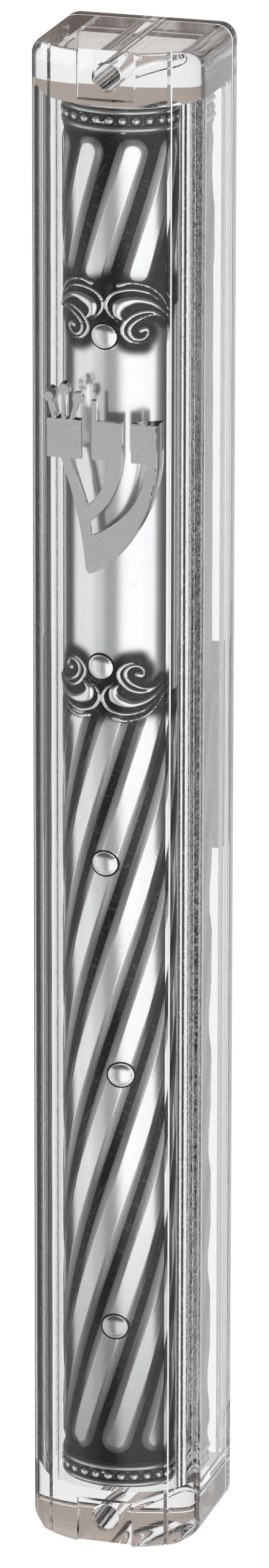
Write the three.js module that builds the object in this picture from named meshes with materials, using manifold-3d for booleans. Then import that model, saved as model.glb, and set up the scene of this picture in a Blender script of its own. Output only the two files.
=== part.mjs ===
// A mezuzah case: a clear moulded front body with a raised letter shin, a flush clear back cover,
// a half-round insert of embossed silver sheet, the silver foil on the letter, and an adhesive pad.
//
// Millimetres, +Z up. The front faces -Y and the doorpost is at y = 0, on the +Y side.
// The origin is the centre of the pad's rear face, which is the face that holds the case up.

import * as THREE from 'three';
import { mergeVertices } from 'three/addons/utils/BufferGeometryUtils.js';
import Module from 'manifold-3d';

const wasm = await Module();
wasm.setup();

// ---- driving dimensions -------------------------------------------------------------------

const caseHeight = 180;
const caseWidth = 20.3;
const caseDepth = 18.6;         // front panel's crown to the cover's rear face
const frontRadius = 12.8;       // the convex front in plan
const shoulderDepth = 6.2;      // where the rounded shoulder has run into the flat side
const cornerRadius = 1.9;       // the four corners, seen from the front

const grooveOffset = 7.06;      // the fine groove each side of the front panel
const grooveWidth = 0.5;
const grooveDepth = 0.35;

const coverThickness = 2;       // the cover's flange
const plugThickness = 1.9;      // the raised land on its inside
const plugCorner = 0.5;
const seamGap = 0.1;

const endBlock = 6.5;           // solid plastic above and below the chamber
const frontWall = 2.1;          // even behind the convex front panel
const wallTurn = 5.2;           // where the wall's even part ends and the chamber's corner begins
const chamberHalf = 7.6;        // half width between the chamber's straight sides
const cornerEnd = 8.2;          // depth where the corner has run into the straight side

const pocketWidth = 6.7;        // the flat seat cut for each screw
const pocketHeight = 5.6;
const pocketFloor = 1.2;
const screwRadius = 1.5;
const screwInset = 3.1;         // from each end of the case
const screwChamfer = 0.25;

const insertRadius = 7.3;
const insertFront = 2.65;       // depth of the sheet's foremost line
const insertSheet = 0.4;
const insertLeg = 2.3;          // straight part behind the half round
const insertClearance = 0.3;    // at each end of the chamber
const collarRise = 0.2;
const ridgeRoot = 0.25;         // how deep a collar's ridge sits in the sheet
const beadRadius = 0.42;
const beadProud = 0.06;         // a bead's centre beyond the sheet's face
const beadPitch = 11.5;         // degrees
const beadTurn = 9;             // degrees, keeps a bead's facets clear of the sheet's
const beadsEachSide = 6;
const studRadius = 1.6;
const studRise = 0.4;
const studRoot = 0.3;           // how deep a stud's base sits in the sheet

const letterProud = 0.35;       // the letter's face in front of the panel's crown
const letterRoot = 2.2;         // how deep the letter's block reaches into the panel
const letterFoot = 119.3;       // height of the letter's point above the case's foot
const foilThickness = 0.1;
const foilGap = 0.02;

const padWidth = 17;
const padHeight = 25;
const padThickness = 0.8;
const padGap = 0.1;
const padCentre = 94.3;         // height of the pad's centre above the case's foot
const padCorner = 0.6;

// ---- places worked out from them ----------------------------------------------------------

const backY = -(padThickness + padGap);
const frontY = backY - caseDepth;
const footZ = -padCentre;
const halfWidth = caseWidth / 2;
const seamDepth = caseDepth - coverThickness;
const plugDepth = seamDepth - plugThickness;
const sheetCentre = insertFront + insertRadius;
const overshoot = 1;            // how far a cutter passes the face it cuts

// ---- materials ----------------------------------------------------------------------------

const clearPlastic = new THREE.MeshStandardMaterial({
  color: 0xf4f5f5, roughness: 0.04, metalness: 0, transparent: true, opacity: 0.3,
});
const coverPlastic = new THREE.MeshStandardMaterial({
  color: 0xeceeee, roughness: 0.06, metalness: 0, transparent: true, opacity: 0.35,
});
const silverSheet = new THREE.MeshStandardMaterial({ color: 0xb4b4b6, roughness: 0.25, metalness: 1 });
const silverFoil = new THREE.MeshStandardMaterial({ color: 0xb9babc, roughness: 0.42, metalness: 0.9 });
const foamPad = new THREE.MeshStandardMaterial({ color: 0xa29e99, roughness: 0.95, metalness: 0 });

// ---- helpers ------------------------------------------------------------------------------

/** A closed three.js geometry as a manifold-3d solid. */
function solidOf(geometry) {
  const bare = geometry.index ? geometry.toNonIndexed() : geometry.clone();
  bare.deleteAttribute('normal');
  bare.deleteAttribute('uv');
  const merged = mergeVertices(bare, 1e-5);
  const vertProperties = new Float32Array(merged.attributes.position.array);
  const triVerts = new Uint32Array(merged.index.array);
  return new wasm.Manifold(new wasm.Mesh({ numProp: 3, vertProperties, triVerts }));
}

/** A manifold-3d solid as a named three.js mesh. */
function namedMesh(name, solid, material) {
  const { vertProperties, triVerts } = solid.getMesh();
  const geometry = new THREE.BufferGeometry();
  geometry.setAttribute('position', new THREE.BufferAttribute(vertProperties, 3));
  geometry.setIndex(new THREE.BufferAttribute(triVerts, 1));
  geometry.computeVertexNormals();
  const mesh = new THREE.Mesh(geometry, material);
  mesh.name = name;
  return mesh;
}

/** A plan outline (x, depth) drawn up the case from one height to another. */
function planPrism(shape, fromZ, toZ) {
  const geometry = new THREE.ExtrudeGeometry(shape, {
    depth: toZ - fromZ, bevelEnabled: false, curveSegments: 12,
  });
  geometry.translate(0, frontY, footZ + fromZ);
  return solidOf(geometry);
}

/** A front outline (x, height above the foot) drawn back from one depth to another. */
function frontPrism(shape, fromDepth, toDepth, curveSegments = 12) {
  const geometry = new THREE.ExtrudeGeometry(shape, {
    depth: toDepth - fromDepth, bevelEnabled: false, curveSegments,
  });
  geometry.rotateX(Math.PI / 2);
  geometry.translate(0, frontY + toDepth, footZ);
  return solidOf(geometry);
}

/** A round bar or cone along the depth of the case, on its middle line. */
function depthBar(frontEnd, rearEnd, fromDepth, toDepth, z) {
  const geometry = new THREE.CylinderGeometry(rearEnd, frontEnd, toDepth - fromDepth, 28);
  geometry.translate(0, frontY + (fromDepth + toDepth) / 2, footZ + z);
  return solidOf(geometry);
}

function roundedRectangle(left, right, bottom, top, radius) {
  const shape = new THREE.Shape();
  shape.moveTo(right, bottom + radius);
  shape.lineTo(right, top - radius);
  shape.absarc(right - radius, top - radius, radius, 0, Math.PI / 2);
  shape.lineTo(left + radius, top);
  shape.absarc(left + radius, top - radius, radius, Math.PI / 2, Math.PI);
  shape.lineTo(left, bottom + radius);
  shape.absarc(left + radius, bottom + radius, radius, Math.PI, 1.5 * Math.PI);
  shape.lineTo(right - radius, bottom);
  shape.absarc(right - radius, bottom + radius, radius, 1.5 * Math.PI, 2 * Math.PI);
  return shape;
}

/** Depth of the convex front at a distance x from the middle of the case. */
function frontDepth(x) {
  return frontRadius - Math.sqrt(frontRadius ** 2 - x ** 2);
}

/** The case's outline in plan, from the convex front to a flat rear at the given depth. */
function casePlan(rearDepth) {
  const shoulderStart = grooveOffset + grooveWidth / 2;
  const grooveStart = grooveOffset - grooveWidth / 2;
  const shoulderPull = 1.6;
  const shoulderEase = halfWidth - 1.1;
  const shoulderEaseDepth = frontDepth(shoulderStart) + 1.3;
  const frontSteps = 14;
  const shape = new THREE.Shape();
  shape.moveTo(-halfWidth, rearDepth);
  shape.lineTo(-halfWidth, shoulderDepth);
  shape.bezierCurveTo(-halfWidth, shoulderDepth - shoulderPull, -shoulderEase, shoulderEaseDepth,
    -shoulderStart, frontDepth(shoulderStart));
  shape.lineTo(-grooveOffset, frontDepth(grooveOffset) + grooveDepth);
  for (let i = -frontSteps; i <= frontSteps; i += 1) {
    const x = grooveStart * i / frontSteps;
    shape.lineTo(x, frontDepth(x));
  }
  shape.lineTo(grooveOffset, frontDepth(grooveOffset) + grooveDepth);
  shape.lineTo(shoulderStart, frontDepth(shoulderStart));
  shape.bezierCurveTo(shoulderEase, shoulderEaseDepth, halfWidth, shoulderDepth - shoulderPull,
    halfWidth, shoulderDepth);
  shape.lineTo(halfWidth, rearDepth);
  return shape;
}

/** The chamber in plan: an even wall behind the front, soft corners and straight sides. */
function chamberPlan(rearDepth) {
  const wallRadius = frontRadius - frontWall;
  const wallSteps = 10;
  const turnDepth = frontRadius - Math.sqrt(wallRadius ** 2 - wallTurn ** 2);
  const slope = wallTurn / (frontRadius - turnDepth);
  const lead = 1.5;
  const sidePull = 2.4;
  const shape = new THREE.Shape();
  shape.moveTo(-chamberHalf, rearDepth);
  shape.lineTo(-chamberHalf, cornerEnd);
  shape.bezierCurveTo(-chamberHalf, cornerEnd - sidePull, -wallTurn - lead, turnDepth + lead * slope,
    -wallTurn, turnDepth);
  for (let i = 1 - wallSteps; i <= wallSteps; i += 1) {
    const x = wallTurn * i / wallSteps;
    shape.lineTo(x, frontRadius - Math.sqrt(wallRadius ** 2 - x ** 2));
  }
  shape.bezierCurveTo(wallTurn + lead, turnDepth + lead * slope, chamberHalf, cornerEnd - sidePull,
    chamberHalf, cornerEnd);
  shape.lineTo(chamberHalf, rearDepth);
  return shape;
}

/** The insert in plan: a half round of even thickness with straight legs, open to the rear. */
function sheetPlan(radius, thickness, rearDepth) {
  const inner = radius - thickness;
  const shape = new THREE.Shape();
  shape.moveTo(radius, rearDepth);
  shape.lineTo(radius, sheetCentre);
  shape.absarc(0, sheetCentre, radius, 0, -Math.PI, true);
  shape.lineTo(-radius, rearDepth);
  shape.lineTo(-inner, rearDepth);
  shape.lineTo(-inner, sheetCentre);
  shape.absarc(0, sheetCentre, inner, -Math.PI, 0, false);
  shape.lineTo(inner, rearDepth);
  return shape;
}

// ---- the letter ---------------------------------------------------------------------------
// A plain block shin: three heads on a common line, joined by arms that sweep into one point at
// the foot. The left head carries a crown of three ball-topped strokes, the middle one a thorn.

const headFoot = 13.5;          // heights above the letter's point
const headTop = 18.1;
const leftHead = [-6.6, -2.6];
const middleHead = [-1.35, 2.25];
const rightHead = [3.3, 6.4];
const innerFork = [-1.8, 8.15]; // where the left and middle arms meet
const thorn = [0.6, 2.4];       // width and height of the middle head's stroke
const crownStrokes = [
  { root: -5.8, ball: [-6.4, 20.6], radius: 0.62 },
  { root: -4.65, ball: [-4.65, 21.5], radius: 0.66 },
  { root: -3.75, ball: [-2.95, 20.6], radius: 0.66 },
];
const strokeHalfWidth = 0.24;

/** Draws one ball-topped stroke of the crown into the outline, left side first. */
function addCrownStroke(shape, { root, ball, radius }) {
  const rise = ball[1] - headTop;
  const lean = Math.atan2(rise, ball[0] - root);
  const neck = Math.asin(strokeHalfWidth / radius);
  shape.lineTo(root - strokeHalfWidth, letterFoot + headTop);
  shape.absarc(ball[0], letterFoot + ball[1], radius, lean + Math.PI - neck, lean - Math.PI + neck, true);
  shape.lineTo(root + strokeHalfWidth, letterFoot + headTop);
}

function letterOutline() {
  const at = (x, height) => [x, letterFoot + height];
  const shape = new THREE.Shape();
  shape.moveTo(...at(leftHead[0], headFoot));
  shape.lineTo(...at(leftHead[0], headTop));
  for (const stroke of crownStrokes) {
    addCrownStroke(shape, stroke);
  }
  shape.lineTo(...at(leftHead[1], headTop));
  shape.lineTo(...at(leftHead[1], headFoot));
  shape.lineTo(...at(-3.75, headFoot));
  shape.lineTo(...at(...innerFork));
  shape.quadraticCurveTo(...at(0.45, 10), ...at(0.6, headFoot));
  shape.lineTo(...at(middleHead[0], headFoot));
  shape.lineTo(...at(middleHead[0], headTop + thorn[1]));
  shape.lineTo(...at(middleHead[0] + thorn[0], headTop + thorn[1]));
  shape.lineTo(...at(middleHead[0] + thorn[0], headTop));
  shape.lineTo(...at(middleHead[1], headTop));
  shape.lineTo(...at(middleHead[1], headFoot));
  shape.bezierCurveTo(...at(2.1, 10.6), ...at(0.7, 8.1), ...at(-1.4, 6.3));
  shape.lineTo(...at(-1.2, 4.65));
  shape.bezierCurveTo(...at(2, 5.9), ...at(5, 9.3), ...at(5.25, headFoot));
  shape.lineTo(...at(rightHead[0], headFoot));
  shape.lineTo(...at(rightHead[0], headTop));
  shape.lineTo(...at(rightHead[1], headTop));
  shape.lineTo(...at(rightHead[1], headFoot));
  shape.bezierCurveTo(...at(6.2, 8), ...at(2.7, 1.6), ...at(-1.6, 0));
  shape.lineTo(...at(-2.05, 0.6));
  shape.quadraticCurveTo(...at(-2.5, 6.7), ...at(-4.95, headFoot));
  return shape;
}

/** The whole letter with its crown, between two depths. */
function letterSolid(fromDepth, toDepth) {
  return frontPrism(letterOutline(), fromDepth, toDepth, 8);
}

// ---- front body ---------------------------------------------------------------------------

function frontBody() {
  const outline = roundedRectangle(-halfWidth, halfWidth, 0, caseHeight, cornerRadius);
  let body = planPrism(casePlan(seamDepth), 0, caseHeight);
  body = body.intersect(frontPrism(outline, -overshoot, caseDepth));
  body = body.add(letterSolid(-letterProud, letterRoot));
  const chamber = chamberPlan(seamDepth + overshoot);
  body = body.subtract(planPrism(chamber, endBlock, caseHeight - endBlock));
  for (const top of [false, true]) {
    const screwZ = top ? caseHeight - screwInset : screwInset;
    const pocketLow = top ? caseHeight - pocketHeight : -overshoot;
    const cutHeight = pocketHeight + overshoot;
    const pocket = new THREE.BoxGeometry(pocketWidth, pocketFloor + overshoot, cutHeight);
    pocket.translate(0, frontY + (pocketFloor - overshoot) / 2, footZ + pocketLow + cutHeight / 2);
    body = body.subtract(solidOf(pocket));
    body = body.subtract(depthBar(screwRadius, screwRadius, 0, caseDepth, screwZ));
    body = body.subtract(depthBar(screwRadius + 2 * screwChamfer, screwRadius,
      pocketFloor - screwChamfer, pocketFloor + screwChamfer, screwZ));
  }
  return body;
}

// ---- back cover ---------------------------------------------------------------------------

function backCover() {
  const flange = roundedRectangle(-halfWidth, halfWidth, 0, caseHeight, cornerRadius);
  const plugHalf = chamberHalf - seamGap;
  const plugEnd = endBlock + seamGap;
  const plug = roundedRectangle(-plugHalf, plugHalf, plugEnd, caseHeight - plugEnd, plugCorner);
  let cover = frontPrism(flange, seamDepth + seamGap, caseDepth);
  cover = cover.add(frontPrism(plug, plugDepth, caseDepth - overshoot));
  for (const screwZ of [screwInset, caseHeight - screwInset]) {
    cover = cover.subtract(depthBar(screwRadius, screwRadius, seamDepth, caseDepth + overshoot, screwZ));
  }
  return cover;
}

// ---- embossed insert ----------------------------------------------------------------------

const insertFoot = endBlock + insertClearance;
const insertTop = caseHeight - insertFoot;
const collarRidges = [
  [0.15, 0.7],
  [2.1, 2.75],
];                              // [near edge, far edge] from the insert's end
const beadHeight = 1.4;         // the row of beads between the two ridges
const studs = [
  [-4, 146.8],
  [-7, 107.7],
  [-3, 84.1],
  [11, 58.4],
  [6, 27.1],
];                              // [degrees round from the front, height above the foot]

/** A point on the half round, at an angle from the front and at a distance from its centre. */
function roundPoint(degrees, radius) {
  const angle = THREE.MathUtils.degToRad(degrees);
  return [radius * Math.sin(angle), frontY + sheetCentre - radius * Math.cos(angle)];
}

/** A shallow dome on a flat base, as a profile from the axis out and back to the axis. */
function domeProfile() {
  const steps = 6;
  const profile = [new THREE.Vector2(0, 0)];
  for (let i = 0; i <= steps; i += 1) {
    const angle = Math.PI / 2 * i / steps;
    const radius = i === steps ? 0 : studRadius * Math.cos(angle);
    profile.push(new THREE.Vector2(radius, (studRise + studRoot) * Math.sin(angle)));
  }
  return profile;
}

function embossedInsert() {
  const rear = sheetCentre + insertLeg;
  let sheet = planPrism(sheetPlan(insertRadius, insertSheet, rear), insertFoot, insertTop);
  const ridge = sheetPlan(insertRadius + collarRise, collarRise + ridgeRoot, rear - ridgeRoot);
  for (const [near, far] of collarRidges) {
    sheet = sheet.add(planPrism(ridge, insertFoot + near, insertFoot + far));
    sheet = sheet.add(planPrism(ridge, insertTop - far, insertTop - near));
  }
  for (const z of [insertFoot + beadHeight, insertTop - beadHeight]) {
    for (let i = -beadsEachSide; i <= beadsEachSide; i += 1) {
      const bead = new THREE.SphereGeometry(beadRadius, 10, 7);
      bead.rotateZ(THREE.MathUtils.degToRad(i * beadPitch + beadTurn));
      const [x, y] = roundPoint(i * beadPitch, insertRadius + beadProud);
      bead.translate(x, y, footZ + z);
      sheet = sheet.add(solidOf(bead));
    }
  }
  for (const [degrees, z] of studs) {
    const dome = new THREE.LatheGeometry(domeProfile(), 24);
    dome.rotateX(Math.PI);
    dome.rotateZ(THREE.MathUtils.degToRad(degrees));
    const [x, y] = roundPoint(degrees, insertRadius - studRoot);
    dome.translate(x, y, footZ + z);
    sheet = sheet.add(solidOf(dome));
  }
  return sheet;
}

// ---- adhesive pad -------------------------------------------------------------------------

function adhesivePad() {
  const outline = roundedRectangle(-padWidth / 2, padWidth / 2, padCentre - padHeight / 2,
    padCentre + padHeight / 2, padCorner);
  return frontPrism(outline, caseDepth + padGap, caseDepth + padGap + padThickness, 3);
}

// ---- the assembly -------------------------------------------------------------------------

const mezuzahCase = new THREE.Group();

const back = new THREE.Group();
back.add(namedMesh('adhesive_pad', adhesivePad(), foamPad));
back.add(namedMesh('back_cover', backCover(), coverPlastic));

const front = new THREE.Group();
front.add(namedMesh('front_body', frontBody(), clearPlastic));
front.add(namedMesh('shin_foil', letterSolid(-letterProud - foilGap - foilThickness, -letterProud - foilGap),
  silverFoil));
front.add(namedMesh('embossed_insert', embossedInsert(), silverSheet));

mezuzahCase.add(back, front);

export default mezuzahCase;
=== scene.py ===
import math

import bmesh
import bpy
import numpy as np
from mathutils import Matrix, Vector


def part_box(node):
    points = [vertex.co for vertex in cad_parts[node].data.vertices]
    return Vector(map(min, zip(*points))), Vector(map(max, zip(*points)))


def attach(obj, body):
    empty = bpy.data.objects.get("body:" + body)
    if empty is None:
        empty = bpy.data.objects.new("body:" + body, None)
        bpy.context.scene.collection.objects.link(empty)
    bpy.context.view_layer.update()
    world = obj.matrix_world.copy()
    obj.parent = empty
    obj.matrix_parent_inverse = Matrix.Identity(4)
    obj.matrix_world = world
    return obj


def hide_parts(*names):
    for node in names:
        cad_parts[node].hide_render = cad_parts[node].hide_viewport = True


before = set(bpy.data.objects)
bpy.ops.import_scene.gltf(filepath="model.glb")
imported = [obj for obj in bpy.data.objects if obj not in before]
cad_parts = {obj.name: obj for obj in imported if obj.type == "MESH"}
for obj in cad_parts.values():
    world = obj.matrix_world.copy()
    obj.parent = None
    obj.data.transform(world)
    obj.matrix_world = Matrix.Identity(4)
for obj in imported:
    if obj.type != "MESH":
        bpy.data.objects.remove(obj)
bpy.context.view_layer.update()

# ---- front body -----------------------------------------------------------------------------
# One clear polystyrene moulding: a convex lens-like front between two fine grooves, rounded
# shoulders, solid end blocks with a screw pocket each, and the letter's relief on the front.

# The case hangs upright with its pad's rear face on the frame's origin. Depths run back from
# the crown of the convex front and heights run up from the foot, both in millimetres.
MM = 0.001
cover_low, cover_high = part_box("back_cover")
CASE_HEIGHT = (cover_high[2] - cover_low[2]) / MM
HALF_WIDTH = cover_high[0] / MM
CASE_DEPTH = 18.6
FOOT_Z = cover_low[2] / MM
CROWN_Y = cover_high[1] / MM - CASE_DEPTH
FRONT_RADIUS = 12.8
GROOVE_OFFSET = 7.06
GROOVE_WIDTH = 0.5
GROOVE_DEPTH = 0.35
SHOULDER_DEPTH = 6.2
CORNER_RADIUS = 1.9
SEAM_DEPTH = 16.6
END_BLOCK = 6.5
CHAMBER_HALF = 7.6
FRONT_WALL = 2.1
WALL_TURN = 5.2
POCKET_WIDTH = 6.7
POCKET_HEIGHT = 5.6
POCKET_FLOOR = 1.2
SCREW_RADIUS = 1.5
SCREW_INSET = 3.1
SCREW_CHAMFER = 0.25
EDGE_FILLET = 0.3
RIM_FILLET = 0.18
CUT_OVERRUN = 1.0               # how far a cutter runs past the face it cuts through
STYRENE_IOR = 1.52


def place(x, depth, height):
    """A point of the case, from millimetres across, back and up to the frame's metres."""
    return (x * MM, (CROWN_Y + depth) * MM, (FOOT_Z + height) * MM)


def front_depth(x):
    """Depth of the convex front at a distance from the middle line."""
    return FRONT_RADIUS - math.sqrt(max(FRONT_RADIUS ** 2 - x * x, 0.0))


def bezier(p0, p1, p2, p3, steps):
    """Points along a cubic curve, without its first end."""
    found = []
    for k in range(1, steps + 1):
        t = k / steps
        a, b, c, d = (1 - t) ** 3, 3 * t * (1 - t) ** 2, 3 * t * t * (1 - t), t ** 3
        found.append(tuple(a * p0[i] + b * p1[i] + c * p2[i] + d * p3[i] for i in range(2)))
    return found


def half_plan():
    """The right half of the body's plan, as (x, depth) from the crown to the rear rim."""
    start, end = GROOVE_OFFSET - GROOVE_WIDTH / 2, GROOVE_OFFSET + GROOVE_WIDTH / 2
    steps = 44
    points = [(start * k / steps, front_depth(start * k / steps)) for k in range(steps + 1)]
    for share in (0.2, 0.45, 0.7, 0.88):
        x = start + share * GROOVE_WIDTH / 2
        points.append((x, front_depth(x) + GROOVE_DEPTH * share))
    points.append((GROOVE_OFFSET, front_depth(GROOVE_OFFSET) + GROOVE_DEPTH))
    for share in (0.88, 0.7, 0.45, 0.2):
        x = end - share * GROOVE_WIDTH / 2
        points.append((x, front_depth(x) + GROOVE_DEPTH * share))
    points.append((end, front_depth(end)))
    points += bezier((end, front_depth(end)), (HALF_WIDTH - 1.1, front_depth(end) + 1.3),
                     (HALF_WIDTH, SHOULDER_DEPTH - 1.6), (HALF_WIDTH, SHOULDER_DEPTH), 22)
    points += [(HALF_WIDTH, d) for d in (7.5, 9.0, 11.0, 13.0, 15.0)]
    for k in range(5):
        a = math.radians(90 * k / 4)
        points.append((HALF_WIDTH - RIM_FILLET + RIM_FILLET * math.cos(a),
                       SEAM_DEPTH - RIM_FILLET + RIM_FILLET * math.sin(a)))
    return points


def end_rows(height):
    """Heights of the rows of a long moulding, close together at the rounded ends."""
    near = [0.0]
    for k in range(1, 7):
        near.append(EDGE_FILLET * (1 - math.cos(math.radians(15 * k))))
    for k in range(1, 9):
        near.append(EDGE_FILLET + (CORNER_RADIUS - EDGE_FILLET) * k / 8)
    middle = list(np.linspace(CORNER_RADIUS + 2.5, height - CORNER_RADIUS - 2.5, 40))
    return near + middle + [height - h for h in reversed(near)]


def corner_half_width(height, total):
    """Half width of the front outline at a height, with its rounded corners."""
    from_end = min(height, total - height)
    if from_end >= CORNER_RADIUS:
        return HALF_WIDTH
    return HALF_WIDTH - CORNER_RADIUS + math.sqrt(
        max(CORNER_RADIUS ** 2 - (CORNER_RADIUS - from_end) ** 2, 0.0))


def edge_inset(height, total):
    """How far the surface is drawn in by the small fillet round each end."""
    from_end = min(height, total - height)
    if from_end >= EDGE_FILLET:
        return 0.0
    return EDGE_FILLET - math.sqrt(max(EDGE_FILLET ** 2 - (EDGE_FILLET - from_end) ** 2, 0.0))


def mesh_object(name, vertices, faces):
    """A mesh object from points in metres."""
    mesh = bpy.data.meshes.new(name)
    mesh.from_pydata(vertices, [], faces)
    mesh.validate()
    obj = bpy.data.objects.new(name, mesh)
    bpy.context.scene.collection.objects.link(obj)
    return obj


def outward(obj):
    """Turns every face of a closed mesh outwards."""
    work = bmesh.new()
    work.from_mesh(obj.data)
    bmesh.ops.recalc_face_normals(work, faces=work.faces)
    work.to_mesh(obj.data)
    work.free()


def loft(name, rings):
    """A closed mesh through rings of as many points each, capped at both ends."""
    n = len(rings[0])
    points = [point for ring in rings for point in ring]
    cells = [(r * n + k, r * n + (k + 1) % n, (r + 1) * n + (k + 1) % n, (r + 1) * n + k)
             for r in range(len(rings) - 1) for k in range(n)]
    cells += [tuple(range(n)), tuple(len(points) - 1 - k for k in range(n))]
    obj = mesh_object(name, points, cells)
    outward(obj)
    return obj


def combine(obj, other, operation):
    """Cuts or joins two closed meshes and drops the second."""
    cutter = obj.modifiers.new("cut", "BOOLEAN")
    cutter.operation = operation
    cutter.solver = "EXACT"
    cutter.object = other
    shape = bpy.data.meshes.new_from_object(
        obj.evaluated_get(bpy.context.evaluated_depsgraph_get()))
    obj.modifiers.clear()
    old = obj.data
    obj.data = shape
    bpy.data.meshes.remove(old)
    bpy.data.objects.remove(other, do_unlink=True)


def soften(obj, degrees=32):
    """Smooth shading with crisp edges, and face-weighted normals so flats stay flat."""
    obj.data.shade_smooth()
    obj.data.set_sharp_from_angle(angle=math.radians(degrees))
    weighted = obj.modifiers.new("normals", "WEIGHTED_NORMAL")
    weighted.keep_sharp = True
    weighted.weight = 80


plan = half_plan()
outline = [(-x, d) for x, d in reversed(plan[1:])] + plan
rows = end_rows(CASE_HEIGHT)
grid = []
for height in rows:
    width = corner_half_width(height, CASE_HEIGHT)
    draw_in = edge_inset(height, CASE_HEIGHT)
    straight = HALF_WIDTH - CORNER_RADIUS
    for x, d in outline:
        side = abs(x)
        if side > straight:
            side = straight + (side - straight) * (width - straight) / CORNER_RADIUS
        lean = min(abs(x) / HALF_WIDTH, 1.0)
        side -= draw_in * lean
        depth = d + draw_in * (1 - lean * 0.6) if d < SHOULDER_DEPTH else d
        grid.append(place(math.copysign(side, x), min(depth, SEAM_DEPTH), height))
count = len(outline)
faces = []
for r in range(len(rows) - 1):
    for c in range(count):
        n = (c + 1) % count
        faces.append((r * count + c, r * count + n, (r + 1) * count + n, (r + 1) * count + c))
faces.append(tuple(range(count - 1, -1, -1)))
faces.append(tuple((len(rows) - 1) * count + c for c in range(count)))
case_body = mesh_object("case_body", grid, faces)
outward(case_body)


def prism(name, outline, low, high, axis="up"):
    """A closed prism: a plan drawn up the case, or a front outline drawn back through it."""
    if axis == "up":
        return loft(name, [[place(x, d, level) for x, d in outline] for level in (low, high)])
    return loft(name, [[place(x, level, h) for x, h in outline] for level in (low, high)])


def rounded_rectangle(half_width, low, high, radius, corner_steps=10):
    """A rounded rectangle in the front view, as (x, height)."""
    points = []
    right, bottom, top = half_width - radius, low + radius, high - radius
    for cx, cz, begin in ((right, bottom, -90), (right, top, 0), (-right, top, 90),
                          (-right, bottom, 180)):
        for k in range(corner_steps + 1):
            a = math.radians(begin + 90 * k / corner_steps)
            points.append((cx + radius * math.cos(a), cz + radius * math.sin(a)))
    return points


def screw_bore(name, from_depth, to_depth, height, chamfer_depth=None):
    """A round cutter along the depth, widened at one depth by a small chamfer."""
    levels = [(from_depth, SCREW_RADIUS), (to_depth, SCREW_RADIUS)]
    if chamfer_depth is not None:
        wide = SCREW_RADIUS + SCREW_CHAMFER
        levels = [(from_depth, wide), (chamfer_depth, wide),
                  (chamfer_depth + SCREW_CHAMFER, SCREW_RADIUS), (to_depth, SCREW_RADIUS)]
    steps = 64
    turns = [2 * math.pi * k / steps for k in range(steps)]
    return loft(name, [[place(radius * math.cos(a), depth, height + radius * math.sin(a))
                        for a in turns] for depth, radius in levels])


def chamber_plan():
    """The chamber in plan: a front wall of even thickness that turns into straight sides."""
    inner = FRONT_RADIUS - FRONT_WALL
    steps = 40
    half = []
    for k in range(steps + 1):
        x = WALL_TURN * k / steps
        half.append((x, FRONT_RADIUS - math.sqrt(inner ** 2 - x ** 2)))
    x, depth = half[-1]
    slope = x / (FRONT_RADIUS - depth)
    half += bezier((x, depth), (x + 1.5, depth + 1.5 * slope), (CHAMBER_HALF, 5.8),
                   (CHAMBER_HALF, 8.2), 24)
    half.append((CHAMBER_HALF, SEAM_DEPTH + CUT_OVERRUN))
    return [(-x, d) for x, d in reversed(half[1:])] + half


chamber = prism("chamber_cutter", chamber_plan(), END_BLOCK, CASE_HEIGHT - END_BLOCK)
combine(case_body, chamber, "DIFFERENCE")
for top in (False, True):
    screw = CASE_HEIGHT - SCREW_INSET if top else SCREW_INSET
    low = CASE_HEIGHT - POCKET_HEIGHT if top else -CUT_OVERRUN
    high = CASE_HEIGHT + CUT_OVERRUN if top else POCKET_HEIGHT
    half = POCKET_WIDTH / 2
    seat = prism("seat_cutter", [(-half, low), (half, low), (half, high), (-half, high)],
                 -CUT_OVERRUN, POCKET_FLOOR, axis="back")
    combine(case_body, seat, "DIFFERENCE")
    combine(case_body, screw_bore("bore_cutter", -CUT_OVERRUN, SEAM_DEPTH + CUT_OVERRUN, screw,
                                  POCKET_FLOOR), "DIFFERENCE")

# The letter stands 0.35 mm proud of the front with a little draft and a rounded rim. It is a
# plain block shin on customary proportions, with a crown of three ball-topped strokes.

LETTER_FOOT = 119.3
LETTER_PROUD = 0.35
HEAD_FOOT, HEAD_TOP = 13.5, 18.1
STROKE_HALF_WIDTH = 0.24
CROWN = ((-5.8, (-6.4, 20.6), 0.62), (-4.65, (-4.65, 21.5), 0.66), (-3.75, (-2.95, 20.6), 0.66))


def quadratic(p0, p1, p2, steps):
    """Points along a parabola, without its first end."""
    a = tuple(p0[i] + (p1[i] - p0[i]) * 2 / 3 for i in range(2))
    b = tuple(p2[i] + (p1[i] - p2[i]) * 2 / 3 for i in range(2))
    return bezier(p0, a, b, p2, steps)


def crown_stroke(root, ball, radius):
    """One ball-topped stroke, from its left root round the ball to its right root."""
    lean = math.atan2(ball[1] - HEAD_TOP, ball[0] - root)
    neck = math.asin(STROKE_HALF_WIDTH / radius)
    begin, sweep = lean + math.pi - neck, -(2 * math.pi - 2 * neck)
    points = [(root - STROKE_HALF_WIDTH, HEAD_TOP)]
    for k in range(25):
        a = begin + sweep * k / 24
        points.append((ball[0] + radius * math.cos(a), ball[1] + radius * math.sin(a)))
    return points + [(root + STROKE_HALF_WIDTH, HEAD_TOP)]


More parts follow.
